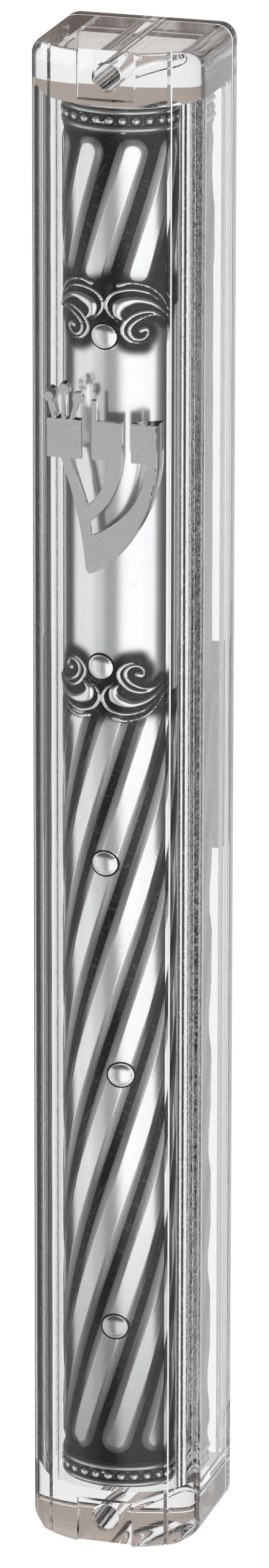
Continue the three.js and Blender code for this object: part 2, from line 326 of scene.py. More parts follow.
def letter_outline():
    """The letter's outline as (x, height above its foot), all the way round."""
    p = [(-6.6, HEAD_FOOT), (-6.6, HEAD_TOP)]
    for root, ball, radius in CROWN:
        p += crown_stroke(root, ball, radius)
    p += [(-2.6, HEAD_TOP), (-2.6, HEAD_FOOT), (-3.75, HEAD_FOOT), (-1.8, 8.15)]
    p += quadratic(p[-1], (0.45, 10), (0.6, HEAD_FOOT), 14)
    p += [(-1.35, HEAD_FOOT), (-1.35, HEAD_TOP + 2.4), (-0.75, HEAD_TOP + 2.4), (-0.75, HEAD_TOP),
          (2.25, HEAD_TOP), (2.25, HEAD_FOOT)]
    p += bezier(p[-1], (2.1, 10.6), (0.7, 8.1), (-1.4, 6.3), 18)
    p += [(-1.2, 4.65)]
    p += bezier(p[-1], (2, 5.9), (5, 9.3), (5.25, HEAD_FOOT), 20)
    p += [(3.3, HEAD_FOOT), (3.3, HEAD_TOP), (6.4, HEAD_TOP), (6.4, HEAD_FOOT)]
    p += bezier(p[-1], (6.2, 8), (2.7, 1.6), (-1.6, 0), 30)
    p += [(-2.05, 0.6)]
    p += quadratic(p[-1], (-2.5, 6.7), (-4.95, HEAD_FOOT), 18)
    return p


def offset_outline(points, amount):
    """A closed outline moved outwards by a small amount, corner by corner."""
    n = len(points)
    area = sum(points[k][0] * points[(k + 1) % n][1] - points[(k + 1) % n][0] * points[k][1]
               for k in range(n))
    turn = 1.0 if area > 0 else -1.0
    moved = []
    for k in range(n):
        a, b, c = points[k - 1], points[k], points[(k + 1) % n]
        e1 = Vector((b[0] - a[0], b[1] - a[1])).normalized()
        e2 = Vector((c[0] - b[0], c[1] - b[1])).normalized()
        n1, n2 = Vector((e1.y, -e1.x)) * turn, Vector((e2.y, -e2.x)) * turn
        mean = n1 + n2
        reach = amount * 2 / max(mean.dot(mean), 1.0)
        moved.append((b[0] + mean.x * reach, b[1] + mean.y * reach))
    return moved


def split_long(points, longest):
    """An outline with extra points so that no side is longer than a limit."""
    found = []
    for k, a in enumerate(points):
        b = points[(k + 1) % len(points)]
        pieces = max(1, math.ceil(math.dist(a, b) / longest))
        found += [(a[0] + (b[0] - a[0]) * i / pieces, a[1] + (b[1] - a[1]) * i / pieces)
                  for i in range(pieces)]
    return found


def letter_slab(name, loop, back, levels):
    """A flat-faced slab on the front, from a depth at its back through (offset, depth) levels."""
    return loft(name, [[place(x, depth, LETTER_FOOT + h) for x, h in offset_outline(loop, grow)]
                       for grow, depth in [(levels[0][0], back)] + list(levels)])


letter_loop = split_long(letter_outline(), 0.5)
relief = letter_slab("letter_relief", letter_loop, 2.1,
                     ((0.16, 1.9), (0.03, 0.0), (0.0, -LETTER_PROUD * 0.6),
                      (-0.015, -LETTER_PROUD * 0.85), (-0.06, -LETTER_PROUD)))
combine(case_body, relief, "UNION")
soften(case_body)
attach(case_body, "case")
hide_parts("front_body")


def new_material(name):
    """An empty node material with its output."""
    material = bpy.data.materials.new(name)
    material.use_nodes = True
    tree = material.node_tree
    tree.nodes.clear()
    output = tree.nodes.new("ShaderNodeOutputMaterial")
    return material, tree, output


def add_node(tree, kind, inputs=None, **settings):
    """A node with settings and inputs: a socket is linked, anything else is set as its value."""
    node = tree.nodes.new(kind)
    for key, value in settings.items():
        setattr(node, key, value)
    for key, value in (inputs or {}).items():
        if isinstance(value, bpy.types.NodeSocket):
            tree.links.new(value, node.inputs[key])
        else:
            node.inputs[key].default_value = value
    return node


def blend(tree, share, first, second, how="MIX"):
    """A colour made from two by a share of the second, or combined in another way."""
    return add_node(tree, "ShaderNodeMix", {0: share, 6: first, 7: second}, data_type="RGBA",
                    blend_type=how).outputs[2]


def new_group(name, inputs, outputs):
    """A node group with named inputs (name: (kind, value)) and outputs (name: kind)."""
    group = bpy.data.node_groups.new(name, "ShaderNodeTree")
    for key, (kind, value) in inputs.items():
        socket = group.interface.new_socket(name=key, in_out="INPUT", socket_type=kind)
        if value is not None:
            socket.default_value = value
    for key, kind in outputs.items():
        group.interface.new_socket(name=key, in_out="OUTPUT", socket_type=kind)
    return group, group.nodes.new("NodeGroupInput"), group.nodes.new("NodeGroupOutput")


def fine_wear_group():
    """Fine rubbed scratches, dust specks and faint cloudiness, as masks from 0 to 1."""
    group, given, out = new_group(
        "fine_wear",
        {"Scratch Scale": ("NodeSocketFloat", 3000.0), "Dust Scale": ("NodeSocketFloat", 900.0),
         "Scratches": ("NodeSocketFloat", 0.5), "Dust": ("NodeSocketFloat", 0.5)},
        {"Scratch": "NodeSocketFloat", "Speck": "NodeSocketFloat", "Cloud": "NodeSocketFloat"})
    where = add_node(group, "ShaderNodeTexCoord").outputs["Object"]
    masks = []
    for turn in (0.5, -1.1, 1.9):
        turned = add_node(group, "ShaderNodeMapping",
                          {"Vector": where, "Rotation": (0.2, turn, 0.1),
                           "Scale": (1.0, 1.0, 45.0)}, vector_type="TEXTURE")
        lines = add_node(group, "ShaderNodeTexNoise",
                         {"Vector": turned.outputs[0], "Scale": given.outputs["Scratch Scale"],
                          "Detail": 0.0})
        sharp = add_node(group, "ShaderNodeMapRange", {"Value": lines.outputs["Fac"],
                                                       "From Min": 0.71, "From Max": 0.77})
        masks.append(sharp.outputs[0])
    both = add_node(group, "ShaderNodeMath", {0: masks[0], 1: masks[1]}, operation="MAXIMUM")
    all_three = add_node(group, "ShaderNodeMath", {0: both.outputs[0], 1: masks[2]},
                         operation="MAXIMUM")
    scaled = add_node(group, "ShaderNodeMath",
                      {0: all_three.outputs[0], 1: given.outputs["Scratches"]},
                      operation="MULTIPLY", use_clamp=True)
    group.links.new(scaled.outputs[0], out.inputs["Scratch"])
    cells = add_node(group, "ShaderNodeTexVoronoi",
                     {"Vector": where, "Scale": given.outputs["Dust Scale"]})
    dots = add_node(group, "ShaderNodeMapRange", {"Value": cells.outputs["Distance"],
                                                  "From Min": 0.13, "From Max": 0.06})
    pick = add_node(group, "ShaderNodeSeparateColor", {"Color": cells.outputs["Color"]})
    some = add_node(group, "ShaderNodeMapRange", {"Value": pick.outputs[0], "From Min": 0.86,
                                                  "From Max": 0.9})
    specks = add_node(group, "ShaderNodeMath", {0: dots.outputs[0], 1: some.outputs[0]},
                      operation="MULTIPLY")
    few = add_node(group, "ShaderNodeMath", {0: specks.outputs[0], 1: given.outputs["Dust"]},
                   operation="MULTIPLY", use_clamp=True)
    group.links.new(few.outputs[0], out.inputs["Speck"])
    cloud = add_node(group, "ShaderNodeTexNoise", {"Vector": where, "Scale": 90.0, "Detail": 5.0,
                                                   "Roughness": 0.6})
    group.links.new(cloud.outputs["Fac"], out.inputs["Cloud"])
    return group


fine_wear = fine_wear_group()


def place_group(tree, group, **values):
    """A group placed in a material with its own values, given by input name."""
    node = tree.nodes.new("ShaderNodeGroup")
    node.node_tree = group
    for key, value in values.items():
        node.inputs[key.replace("_", " ")].default_value = value
    return node


def clear_plastic(name, tint, roughness, scratches, dust, ior):
    """Clear moulded plastic: glass-like, lets lamps through, with scratches, dust, a tint, and
    painted shade that darkens it where its surface is seen edge-on.
    """
    material, tree, output = new_material(name)
    wear = place_group(tree, fine_wear, Scratch_Scale=3000.0, Dust_Scale=1000.0,
                       Scratches=scratches, Dust=dust)
    worn = add_node(tree, "ShaderNodeMath", {0: wear.outputs["Scratch"], 1: wear.outputs["Speck"]},
                    operation="ADD", use_clamp=True)
    rough = add_node(tree, "ShaderNodeMapRange", {"Value": worn.outputs[0], "To Min": roughness,
                                                  "To Max": 0.35})
    shade = blend(tree, wear.outputs["Cloud"], (*tint, 1.0), (*(c * 0.985 for c in tint), 1.0))
    dusty = blend(tree, wear.outputs["Speck"], shade, (0.55, 0.54, 0.53, 1.0))
    # Where the surface is seen edge-on its colour is painted towards near black: painted shade
    # along the edges and outlines of the moulding.
    facing = add_node(tree, "ShaderNodeLayerWeight", {"Blend": 0.5}).outputs["Facing"]
    painted_edge_shade_mask = add_node(tree, "ShaderNodeMapRange", {"Value": facing, "From Min": 0.78,
                                                    "From Max": 0.88, "To Max": 0.9})
    inside = add_node(tree, "ShaderNodeNewGeometry").outputs["Backfacing"]
    rim = add_node(tree, "ShaderNodeMath", {0: painted_edge_shade_mask.outputs[0], 1: inside}, operation="SUBTRACT",
                   use_clamp=True)
    tint_with_painted_edge_shade = blend(tree, rim.outputs[0], dusty, (0.03, 0.03, 0.035, 1.0))
    bump = add_node(tree, "ShaderNodeBump", {"Height": wear.outputs["Scratch"], "Strength": 0.12,
                                             "Distance": 0.00002})
    ripple = add_node(tree, "ShaderNodeBump", {"Height": wear.outputs["Cloud"], "Strength": 0.02,
                                               "Distance": 0.0002, "Normal": bump.outputs[0]})
    plastic = add_node(tree, "ShaderNodeBsdfPrincipled",
                       {"Base Color": tint_with_painted_edge_shade, "Roughness": rough.outputs[0], "IOR": ior,
                        "Transmission Weight": 1.0, "Normal": ripple.outputs[0]})
    through = add_node(tree, "ShaderNodeBsdfTransparent",
                       {"Color": (*(c * 0.97 for c in tint), 1.0)})
    path = add_node(tree, "ShaderNodeLightPath")
    mixed = add_node(tree, "ShaderNodeMixShader", {0: path.outputs["Is Shadow Ray"],
                                                   1: plastic.outputs[0], 2: through.outputs[0]})
    tree.links.new(mixed.outputs[0], output.inputs["Surface"])
    return material


case_body.data.materials.clear()
case_body.data.materials.append(
    clear_plastic("clear_styrene", (0.985, 0.99, 0.992), 0.008, 0.3, 0.6, STYRENE_IOR))

# ---- letter foil ----------------------------------------------------------------------------
# A film of satin silver hot-stamped on the letter's face and its crown: thin, bonded, a little
# scratched, and chipped along the edge of its right arm.

FOIL_THICKNESS = 0.05
FOIL_GAP = 0.012
rng = np.random.default_rng(7)
chipped = []
for x, h in offset_outline(letter_loop, -0.05):
    chip = 0.1 * max(0.0, rng.normal(0.1, 0.9)) if x > 4.6 and 9.0 < h < HEAD_TOP else 0.0
    chipped.append((x - min(chip, 0.3), h + rng.normal(0, 0.006)))
film = -LETTER_PROUD - FOIL_GAP
letter_face = letter_slab("shin_face", chipped, film,
                          ((0.0, film - FOIL_THICKNESS * 0.7), (-0.012, film - FOIL_THICKNESS)))
soften(letter_face, 20)
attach(letter_face, "case")
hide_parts("shin_foil")

material, tree, output = new_material("stamped_foil")
wear = place_group(tree, fine_wear, Scratch_Scale=4200.0, Dust_Scale=1500.0, Scratches=0.25,
                   Dust=0.7)
tone = blend(tree, wear.outputs["Cloud"], (0.60, 0.608, 0.622, 1.0), (0.72, 0.728, 0.74, 1.0))
lit = blend(tree, wear.outputs["Scratch"], tone, (0.9, 0.9, 0.91, 1.0))
rough = add_node(tree, "ShaderNodeMapRange", {"Value": wear.outputs["Cloud"], "To Min": 0.36,
                                              "To Max": 0.5})
bump = add_node(tree, "ShaderNodeBump", {"Height": wear.outputs["Cloud"], "Strength": 0.25,
                                         "Distance": 0.00005})
foil = add_node(tree, "ShaderNodeBsdfPrincipled",
                {"Base Color": lit, "Metallic": 0.3, "Roughness": rough.outputs[0],
                 "Normal": bump.outputs[0]})
tree.links.new(foil.outputs[0], output.inputs["Surface"])
letter_face.data.materials.clear()
letter_face.data.materials.append(material)

# ---- embossed insert ------------------------------------------------------------------------
# A thin silver sheet, embossed and printed with black, bent to a half round and dropped into
# the chamber: beaded collars, slanted flutes, two pairs of scrolls, and five round studs.

INSERT_RADIUS = 7.3
SHEET_CENTRE = 9.95
INSERT_SHEET = 0.3
INSERT_LEG = 2.3
INSERT_FOOT = END_BLOCK + 0.3
INSERT_TOP = CASE_HEIGHT - INSERT_FOOT
FLUTE_SLOPE = 0.303
FLUTE_BAND = 0.88
FLUTE_EDGE = 1.83
FLUTE_RISE = 0.1
GROOVE_FALL = 0.18
UPPER_FLUTES = (153.2, 168.9)
LOWER_FLUTES = (11.9, 102.6)
UPPER_PITCH, UPPER_PHASE = 4.9, 2.5     # round the sheet, and where one flute starts
LOWER_PITCH, LOWER_PHASE = 4.55, 0.565
UPPER_FROM = 130                # heights above this belong to the upper flutes and scrolls
STUDS = ((-4, 146.8), (-7, 107.7), (-3, 84.1), (11, 58.4), (6, 27.1))   # degrees round, height
STUD_RADIUS = 1.6
DOME_RADIUS = 1.34
COLLAR = 2.9                    # height of the plain and beaded edge at each end
BEAD_PITCH = 1.465
BEAD_RADIUS = 0.5
BEAD_ROW = 1.41                 # from the sheet's end to the middle of the beads
BEADS_FROM, BEADS_TO = 0.78, 2.05
SCROLL_SHARE = 0.92

quarter = math.pi / 2 * INSERT_RADIUS
half_sheet = quarter + INSERT_LEG
columns = np.linspace(-half_sheet, half_sheet, 143)


def spaced(low, high, step):
    """Heights from low up to, but not including, high."""
    count = max(1, round((high - low) / step))
    return list(low + (high - low) * np.arange(count) / count)


fine_zones = [(INSERT_FOOT, INSERT_FOOT + 3.1, 0.075), (100.6, 110.6, 0.13),
              (143.6, 154.0, 0.13), (INSERT_TOP - 3.1, INSERT_TOP, 0.075)]
fine_zones += [(h - 1.8, h + 1.8, 0.13) for _, h in STUDS[2:]]
fine_zones.sort()
heights = []
reached = INSERT_FOOT
for low, high, step in fine_zones:
    if low > reached:
        heights += spaced(reached, low, 0.5)
    heights += spaced(low, high, step)
    reached = high
heights = np.array(heights + [INSERT_TOP])
U, H = np.meshgrid(columns, heights)


def smoothstep(low, high, value):
    """0 up to low, 1 from high, and an even S between them."""
    t = np.clip((value - low) / (high - low), 0.0, 1.0)
    return t * t * (3 - 2 * t)


def flute_distance(zone, pitch, phase):
    """Distance in the sheet from the nearest flute's middle line, which has round ends."""
    low, high = zone[0] + FLUTE_BAND, zone[1] - FLUTE_BAND
    best = np.full(U.shape, 1e3)
    lean = math.hypot(1.0, FLUTE_SLOPE)
    for k in range(-9, 14):
        along = ((U - phase - k * pitch) * FLUTE_SLOPE + (H - high)) / lean
        along = np.clip(along, (low - high) * lean, 0.0)
        cx = phase + k * pitch + along * FLUTE_SLOPE / lean
        ch = high + along / lean
        best = np.minimum(best, np.hypot(U - cx, H - ch))
    return best


flute = np.where(H > UPPER_FROM, flute_distance(UPPER_FLUTES, UPPER_PITCH, UPPER_PHASE),
                 flute_distance(LOWER_FLUTES, LOWER_PITCH, LOWER_PHASE))

# Each scroll stroke: (across from the stud, up from it) points and half widths along it.
SCROLL_STROKES = (
    (((1.7, 6.0), (3.2, 6.3), (5.2, 5.8), (6.8, 4.6), (7.9, 3.0)), (0.3, 0.17, 0.16, 0.14, 0.08)),
    (((1.6, 1.75), (0.55, 2.7), (0.2, 3.8), (0.95, 4.95), (2.4, 5.45), (3.8, 5.45), (5.3, 5.0),
      (6.8, 3.9)), (0.07, 0.17, 0.22, 0.22, 0.2, 0.18, 0.16, 0.08)),
    (((2.3, 1.85), (1.55, 2.7), (1.75, 3.6), (2.7, 4.1), (4.0, 4.3), (5.8, 3.75), (7.7, 2.3)),
     (0.1, 0.46, 0.68, 0.6, 0.4, 0.26, 0.08)),
    (((4.5, -0.75), (3.0, -0.45), (2.15, 0.5), (2.35, 1.5), (3.4, 2.5), (4.9, 2.9), (6.3, 2.6),
      (7.4, 1.8)), (0.08, 0.2, 0.24, 0.24, 0.22, 0.2, 0.17, 0.07)),
    (((7.0, 2.2), (5.7, 2.5), (4.4, 2.2), (3.3, 1.5), (2.95, 0.6), (3.5, -0.15), (4.5, -0.25),
      (5.15, 0.35), (4.95, 0.95), (4.4, 0.75)),
     (0.07, 0.14, 0.19, 0.22, 0.24, 0.22, 0.18, 0.18, 0.2, 0.34)),
)


def smooth_path(points, widths, steps=9):
    """A Catmull-Rom path through points, with the half widths carried along it."""
    p = np.array(points)
    w = np.array(widths)
    p = np.vstack([2 * p[0] - p[1], p, 2 * p[-1] - p[-2]])
    w = np.concatenate([[w[0]], w, [w[-1]]])
    found, wide = [], []
    for k in range(1, len(p) - 2):
        for s in range(steps):
            t = s / steps
            found.append(0.5 * (2 * p[k] + (p[k + 1] - p[k - 1]) * t
                                + (2 * p[k - 1] - 5 * p[k] + 4 * p[k + 1] - p[k + 2]) * t ** 2
                                + (3 * p[k] - p[k - 1] - 3 * p[k + 1] + p[k + 2]) * t ** 3))
            wide.append(w[k] + (w[k + 1] - w[k]) * t)
    return found + [p[-2]], wide + [w[-2]]


scroll = np.full(U.shape, 9.0)     # distance outside the nearest stroke's edge
stroke_rise = np.zeros(U.shape)
for (degrees, stud_height), flip in ((STUDS[0], 1.0), (STUDS[1], -1.0)):
    centre = math.radians(degrees) * INSERT_RADIUS
    rows_here = np.where(np.abs(heights - stud_height) < 10)[0]
    lo, hi = rows_here[0], rows_here[-1] + 1
    uu, hh = U[lo:hi] - centre, (H[lo:hi] - stud_height) * flip
    for points, widths in SCROLL_STROKES:
        path, wide = smooth_path(points, widths)
        for side in (1.0, -1.0):
            near = np.full(uu.shape, 9.0)
            share = np.full(uu.shape, 9.0)
            for k in range(len(path) - 1):
                a, b = path[k], path[k + 1]
                ax, bx = a[0] * side * SCROLL_SHARE, b[0] * side * SCROLL_SHARE
                dx, dy = bx - ax, b[1] - a[1]
                t = np.clip(((uu - ax) * dx + (hh - a[1]) * dy) / (dx * dx + dy * dy), 0.0, 1.0)
                w = wide[k] + (wide[k + 1] - wide[k]) * t
                d = np.hypot(uu - ax - t * dx, hh - a[1] - t * dy)
                near = np.minimum(near, d - w)
                share = np.minimum(share, d / w)
            widest = max(widths)
            bump = np.sqrt(np.clip(1 - share ** 2, 0, 1)) * (0.16 + 0.42 * widest)
            scroll[lo:hi] = np.minimum(scroll[lo:hi], near)
            stroke_rise[lo:hi] = np.maximum(stroke_rise[lo:hi], bump)

stud = np.full(U.shape, 9.0)
stud_rise = np.zeros(U.shape)
for degrees, stud_height in STUDS:
    beside, above = U - math.radians(degrees) * INSERT_RADIUS, H - stud_height
    d = np.hypot(beside, above)
    stud = np.minimum(stud, d)
    knurl = 0.02 * np.sin(np.arctan2(above, beside) * 44)
    dome = 0.02 + 0.46 * np.sqrt(np.clip(1 - (d / DOME_RADIUS) ** 2, 0, 1))
    rim = 0.16 + knurl * smoothstep(1.3, 1.45, d) - 0.1 * smoothstep(1.5, STUD_RADIUS, d)
    stud_rise = np.where(d < STUD_RADIUS, np.where(d < 1.32, dome, rim), stud_rise)

in_flutes = ((H > LOWER_FLUTES[0] - 3) & (H < LOWER_FLUTES[1] + 1)) | (H > UPPER_FLUTES[0] - 1)
from_end = np.minimum(INSERT_TOP - H, H - INSERT_FOOT)
in_flutes &= from_end > COLLAR
slope_part = smoothstep(FLUTE_BAND, FLUTE_EDGE, flute)
lip = 0.03 * np.exp(-((flute - FLUTE_BAND) / 0.07) ** 2)
fluted = FLUTE_RISE - (FLUTE_RISE + GROOVE_FALL) * slope_part + lip
end_fade = smoothstep(COLLAR, 3.6, from_end)
scroll_side = np.where(H > UPPER_FROM, smoothstep(152.4, 154.2, H), smoothstep(103.4, 101.6, H))
relief_height = np.where(in_flutes, fluted * end_fade * scroll_side, 0.0)
near_scrolls = smoothstep(0.9, 0.15, scroll)
relief_height = relief_height - 0.1 * near_scrolls * (stroke_rise <= 0)
relief_height = np.maximum(relief_height, np.where(stroke_rise > 0, stroke_rise - 0.1, -9))
relief_height = np.where(stud < STUD_RADIUS, stud_rise, relief_height)
for near, far in ((0.12, BEADS_FROM), (BEADS_TO, 2.8)):
    t = np.clip((from_end - near) / (far - near), 0, 1)
    relief_height = np.where((from_end > near) & (from_end < far),
                             0.24 * np.sin(math.pi * t) ** 0.7, relief_height)
bead_u = U - np.round(U / BEAD_PITCH) * BEAD_PITCH
bead = np.hypot(bead_u, from_end - BEAD_ROW)
bead_rise = np.sqrt(np.clip(BEAD_RADIUS ** 2 - bead ** 2, 0, 1)) * 0.8 - 0.04
relief_height = np.where(bead < BEAD_RADIUS, bead_rise, relief_height)
relief_height = np.where((bead >= BEAD_RADIUS) & (from_end > BEADS_FROM) & (from_end < BEADS_TO),
                         -0.06, relief_height)

# Beside the chamber's straight walls the beads are pressed flatter, so the sheet slides freely.
side_limit = CHAMBER_HALF - 0.05 - INSERT_RADIUS
relief_height = np.where(np.abs(U) > quarter - 1.0, np.minimum(relief_height, side_limit),
                         relief_height)

# How bright the metal is left: by the print, full in the smooth band and none behind the scrolls,
# and darker towards the sheet's sides.
halo = smoothstep(0.25, 2.3, scroll + 0.3 * smoothstep(2.0, 0.0, stud))
wave = np.cos(U * 0.9)
upper_tone = np.where(H > 150.0, smoothstep(152.6, 155.0, H - 0.35 * wave), halo)
lower_tone = np.where(H < 104.5, smoothstep(103.0, 100.2, H + 0.3 * wave), halo)
tone = np.where(H > UPPER_FROM, upper_tone, lower_tone)
tone = np.where((H > 112.5) & (H < 142.5), 1.0, tone)
tone = np.where(in_flutes, np.minimum(tone, smoothstep(2.6, 4.2, from_end) * 0.9 + 0.1), tone)
tone = np.where(from_end < 3.1, 0.16, tone)
# The sheet is made darker towards its sides, where it turns back into its legs.
tone = tone * (1 - 0.75 * smoothstep(8.4, 10.6, np.abs(U)))


def sheet_point(u, height, radius, rear_shift=0.0):
    """A point of the bent sheet: round in front, straight along its two legs."""
    if abs(u) <= quarter:
        a = u / INSERT_RADIUS
        return place(radius * math.sin(a), SHEET_CENTRE - radius * math.cos(a), height)
    return place(math.copysign(radius, u), SHEET_CENTRE + abs(u) - quarter + rear_shift, height)


rng = np.random.default_rng(11)
ragged = [0.0] * len(heights)
drift = 0.0
for r in range(len(heights)):
    drift = drift * 0.8 + rng.normal(0, 0.05)
    ragged[r] = max(-0.25, min(0.12, drift))
n_rows, n_cols = U.shape
vertices = []
for r in range(n_rows):
    for c in range(n_cols):
        u = float(columns[c])
        shift = ragged[r] * max(0.0, (abs(u) - quarter) / INSERT_LEG) ** 2
        radius = INSERT_RADIUS + float(relief_height[r, c])
        vertices.append(sheet_point(u, float(heights[r]), radius, shift))
faces = [(r * n_cols + c, r * n_cols + c + 1, (r + 1) * n_cols + c + 1, (r + 1) * n_cols + c)
         for r in range(n_rows - 1) for c in range(n_cols - 1)]
inner = len(vertices)
for height in (float(heights[0]), float(heights[-1])):
    for c in range(n_cols):
        vertices.append(sheet_point(float(columns[c]), height, INSERT_RADIUS - INSERT_SHEET))
faces += [(inner + c + 1, inner + c, inner + n_cols + c, inner + n_cols + c + 1)
          for c in range(n_cols - 1)]
faces += [(c + 1, c, inner + c, inner + c + 1) for c in range(n_cols - 1)]
top_row = (n_rows - 1) * n_cols
faces += [(top_row + c, top_row + c + 1, inner + n_cols + c + 1, inner + n_cols + c)
          for c in range(n_cols - 1)]
faces.append(tuple([r * n_cols for r in range(n_rows)] + [inner + n_cols, inner]))
faces.append(tuple([r * n_cols + n_cols - 1 for r in reversed(range(n_rows))]
                   + [inner + n_cols - 1, inner + 2 * n_cols - 1]))
silver_insert = mesh_object("silver_insert", vertices, faces)
outward(silver_insert)
silver_insert.data.shade_smooth()
silver_insert.data.set_sharp_from_angle(angle=math.radians(70))
for key, field, rest_value in (("flute", np.where(in_flutes, flute, 0.0), 0.0),
                               ("tone", tone, 0.5), ("stud", stud, 9.0), ("scroll", scroll, 9.0),
                               ("across", U, 0.0), ("up", H, 0.0)):
    values = np.full(len(vertices), rest_value, dtype=np.float32)
    values[:inner] = field.astype(np.float32).ravel()
    attribute = silver_insert.data.attributes.new(key, "FLOAT", "POINT")
    attribute.data.foreach_set("value", values)
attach(silver_insert, "insert")
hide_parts("embossed_insert")

material, tree, output = new_material("printed_silver")


def reading(name):
    """A value carried by the sheet's own points."""
    return add_node(tree, "ShaderNodeAttribute", attribute_name=name).outputs["Fac"]


def maths(operation, a, b=0.0, clamp=False):
    """One sum in the present node tree."""
    return add_node(tree, "ShaderNodeMath", {0: a, 1: b}, operation=operation,
                    use_clamp=clamp).outputs[0]


def ramped(value, low, high, to_low=0.0, to_high=1.0):
    """A value taken evenly from one range to another, and held at its ends."""
    return add_node(tree, "ShaderNodeMapRange", {"Value": value, "From Min": low, "From Max": high,
                                                 "To Min": to_low, "To Max": to_high}).outputs[0]


SCREEN_PITCH = 0.17             # the print's fine crossed screen, in millimetres
distance = reading("flute")
band_tone = maths("SUBTRACT", 1.0, ramped(distance, FLUTE_BAND, FLUTE_BAND + 0.05, 0.0, 0.5))
band_tone = maths("SUBTRACT", band_tone, ramped(distance, FLUTE_BAND + 0.05, FLUTE_EDGE, 0.0, 0.22))
band_tone = maths("SUBTRACT", band_tone, ramped(distance, FLUTE_EDGE - 0.15, FLUTE_EDGE, 0.0, 0.4))
wanted = maths("MULTIPLY", band_tone, reading("tone"))
turn = 2 * math.pi / SCREEN_PITCH / math.sqrt(2)
rising, falling = (
    maths("SINE", maths("MULTIPLY", maths(way, reading("across"), reading("up")), turn))
    for way in ("ADD", "SUBTRACT"))
screen = maths("ADD", maths("MULTIPLY", maths("MULTIPLY", rising, falling), 0.5), 0.5)
bright = ramped(maths("SUBTRACT", maths("ADD", wanted, wanted), screen), -0.05, 1.0)
on_stroke = ramped(reading("scroll"), 0.0, -0.1)
on_stud = ramped(reading("stud"), 1.44, 1.38)
stud_ring = maths("MULTIPLY", ramped(reading("stud"), 1.64, STUD_RADIUS),
                  ramped(reading("stud"), 1.38, 1.44))
half_tall = (INSERT_TOP - INSERT_FOOT) / 2
from_middle = maths("ABSOLUTE", maths("SUBTRACT", reading("up"), (INSERT_TOP + INSERT_FOOT) / 2))
collar = ramped(from_middle, half_tall - 3.0, half_tall - 2.8)
metal_left = maths("MAXIMUM", maths("MAXIMUM", bright, on_stroke), on_stud)
metal_left = maths("SUBTRACT", metal_left, stud_ring, clamp=True)
wear = place_group(tree, fine_wear, Scratch_Scale=3200.0, Dust_Scale=1300.0, Scratches=0.1,
                   Dust=0.5)
pocket = add_node(tree, "ShaderNodeNewGeometry").outputs["Pointiness"]
raised = ramped(pocket, 0.49, 0.53)
raised_edge = maths("MULTIPLY", maths("MULTIPLY", collar, raised), 0.85)
metal_left = maths("MAXIMUM", metal_left, raised_edge)
metal_left = maths("MAXIMUM", metal_left, maths("MULTIPLY", wear.outputs["Scratch"], 0.5))
silver = blend(tree, wear.outputs["Cloud"], (0.70, 0.70, 0.705, 1.0), (0.84, 0.84, 0.845, 1.0))
# The silver is made darker towards the bottom of the sheet, reaching full brightness 48 mm above
# the case's foot, except on the collars.
darker_towards_foot = maths("MAXIMUM", ramped(reading("up"), 8.0, 48.0, 0.42, 1.0), collar)
silver_darker_low = blend(tree, 1.0, silver, darker_towards_foot, "MULTIPLY")
printed = blend(tree, metal_left, (0.007, 0.007, 0.0075, 1.0), silver_darker_low)
dusty = blend(tree, maths("MULTIPLY", wear.outputs["Speck"], 0.6), printed, (0.3, 0.3, 0.3, 1.0))
rough = add_node(tree, "ShaderNodeMapRange", {"Value": metal_left, "To Min": 0.42, "To Max": 0.2})
bump = add_node(tree, "ShaderNodeBump", {"Height": wear.outputs["Cloud"], "Strength": 0.2,
                                         "Distance": 0.00006})
sheet_metal = add_node(tree, "ShaderNodeBsdfPrincipled",
                       {"Base Color": dusty, "Metallic": 1.0, "Roughness": rough.outputs[0],
                        "Normal": bump.outputs[0]})
tree.links.new(sheet_metal.outputs[0], output.inputs["Surface"])
silver_insert.data.materials.clear()
silver_insert.data.materials.append(material)

# ---- back cover -----------------------------------------------------------------------------
# A clear moulded plate as large as the case, with a raised land that presses into the chamber
# and closes it. The two screw bores run on through it, and the pad is stuck to its rear.

SEAM_GAP = 0.1
PLUG_DEPTH = 14.7
PLUG_CORNER = 0.5
COVER_FILLET = 0.15
plug_half = CHAMBER_HALF - SEAM_GAP
plug_end = END_BLOCK + SEAM_GAP
levels = []
for k in range(5):
    a = math.radians(90 * k / 4)
    levels.append((CASE_DEPTH - EDGE_FILLET * (1 - math.cos(a)), EDGE_FILLET * (1 - math.sin(a))))
for k in range(4):
    a = math.radians(90 * k / 3)
    levels.append((SEAM_DEPTH + SEAM_GAP + COVER_FILLET * (1 - math.sin(a)),
                   COVER_FILLET * (1 - math.cos(a))))
rings = [(depth, rounded_rectangle(HALF_WIDTH - inset, inset, CASE_HEIGHT - inset,
                                   CORNER_RADIUS - inset)) for depth, inset in levels]
for depth, inset in ((SEAM_DEPTH + SEAM_GAP, 0.0), (PLUG_DEPTH + 0.2, 0.0),
                     (PLUG_DEPTH + 0.06, 0.06), (PLUG_DEPTH, 0.2)):
    rings.append((depth, rounded_rectangle(plug_half - inset, plug_end + inset,
                                           CASE_HEIGHT - plug_end - inset, PLUG_CORNER - inset)))
rear_cover = loft("rear_cover", [[place(x, depth, h) for x, h in loop] for depth, loop in rings])
for screw in (SCREW_INSET, CASE_HEIGHT - SCREW_INSET):
    combine(rear_cover, screw_bore("cover_bore", SEAM_DEPTH - CUT_OVERRUN,
                                   CASE_DEPTH + CUT_OVERRUN, screw), "DIFFERENCE")
soften(rear_cover)
rear_cover.data.materials.clear()
rear_cover.data.materials.append(
    clear_plastic("cover_styrene", (0.975, 0.977, 0.975), 0.02, 0.3, 0.4, STYRENE_IOR))
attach(rear_cover, "back")
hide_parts("back_cover")

# ---- adhesive pad ---------------------------------------------------------------------------
# A die-cut patch of grey double-sided foam tape, stuck to the middle of the cover's rear face.
# Its cut edges are open foam and its faces are mottled by the glue.

